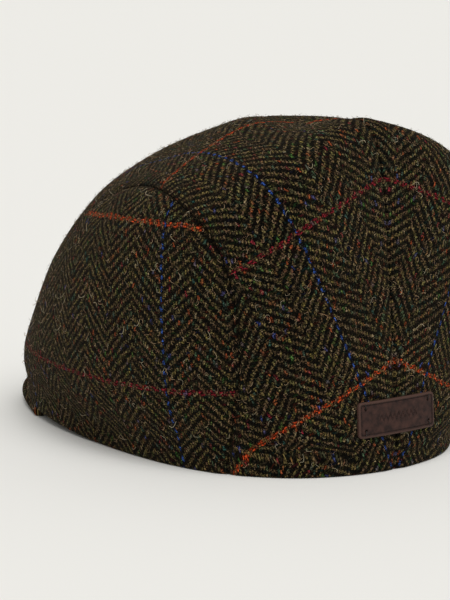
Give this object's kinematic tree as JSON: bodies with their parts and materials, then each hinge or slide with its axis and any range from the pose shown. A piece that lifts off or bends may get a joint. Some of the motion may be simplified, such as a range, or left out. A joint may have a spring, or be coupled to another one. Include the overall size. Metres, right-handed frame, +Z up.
{
  "type": "herringbone tweed flat cap",
  "caption": "Tweed flat cap with a rounded four-panel crown, arched side seams, a short stiff peak and a small leather label at the back.",
  "frame": {"origin": "middle of the cap's outline, on the surface that the cap rests on", "axes": "+Z up, the peak towards -Y, the back seam and its label towards +Y, the wearer's left towards +X"},
  "size_m": [0.1686, 0.2356, 0.1382],
  "materials": {
    "tweed_top": "olive brown herringbone wool tweed with orange, red and blue windowpane lines",
    "tweed_side": "the same tweed cut with its grain upright",
    "tweed_peak": "the same tweed stretched over a stiff board",
    "label_leather": "dark brown grained leather, debossed edge line"
  },
  "bodies": {
    "root": {"top_panel_left": "tweed_top", "top_panel_right": "tweed_top", "side_panel_left": "tweed_side", "side_panel_right": "tweed_side", "peak": "tweed_peak", "back_label": "label_leather"}
  },
  "joints": []
}
